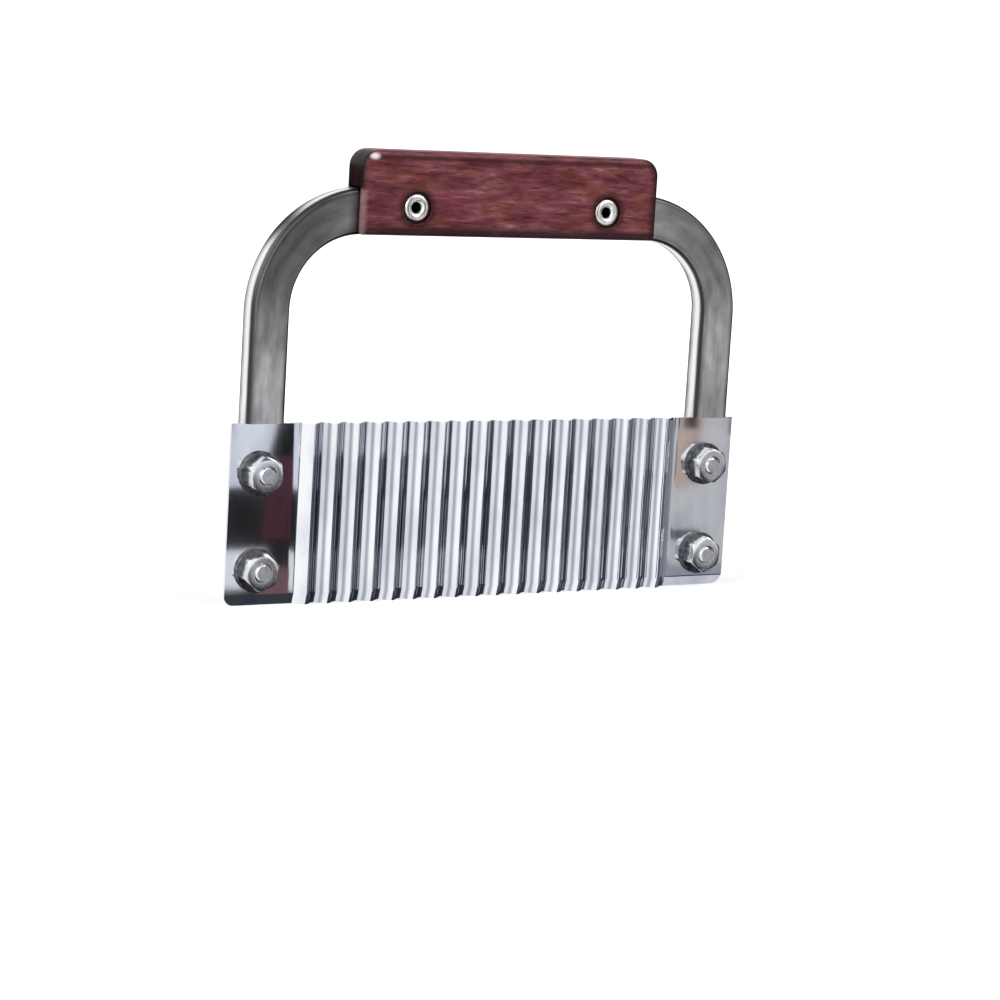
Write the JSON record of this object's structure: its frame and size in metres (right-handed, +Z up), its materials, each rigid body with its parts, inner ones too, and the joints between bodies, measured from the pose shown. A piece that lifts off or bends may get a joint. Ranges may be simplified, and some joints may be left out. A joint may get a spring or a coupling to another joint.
{
  "type": "crinkle cutter knife",
  "caption": "Hand-held crinkle cutter: a corrugated steel blade bolted across the legs of a bent steel bow, with riveted wooden grip scales on the bar.",
  "frame": {"origin": "below the middle of the knife, at the level of the cutting edge and in the middle plane of the bow", "axes": "+X along the blade to the right as seen from the nut side, +Y from that front face to the back, +Z up from the cutting edge to the grip"},
  "size_m": [0.165, 0.013, 0.1267],
  "materials": {
    "blade_steel": "polished stainless sheet with fine vertical grinding lines",
    "bow_steel": "satin",
    "grip_wood": "oiled reddish-brown hardwood, satin gloss",
    "rivet_nickel": "polished nickel plate",
    "fastener_zinc": "bright zinc plate",
    "washer_zinc": "dull zinc plate, darkened by use"
  },
  "bodies": {
    "root": {"blade": "blade_steel", "handle_bow": "bow_steel", "grip_front_scale": "grip_wood", "grip_rear_scale": "grip_wood", "grip_rivet_left": "rivet_nickel", "grip_rivet_right": "rivet_nickel", "blade_screw_upper_left": "fastener_zinc", "blade_screw_lower_left": "fastener_zinc", "blade_screw_upper_right": "fastener_zinc", "blade_screw_lower_right": "fastener_zinc", "blade_washer_upper_left": "washer_zinc", "blade_washer_lower_left": "washer_zinc", "blade_washer_upper_right": "washer_zinc", "blade_washer_lower_right": "washer_zinc", "blade_nut_upper_left": "fastener_zinc", "blade_nut_lower_left": "fastener_zinc", "blade_nut_upper_right": "fastener_zinc", "blade_nut_lower_right": "fastener_zinc"}
  },
  "joints": []
}
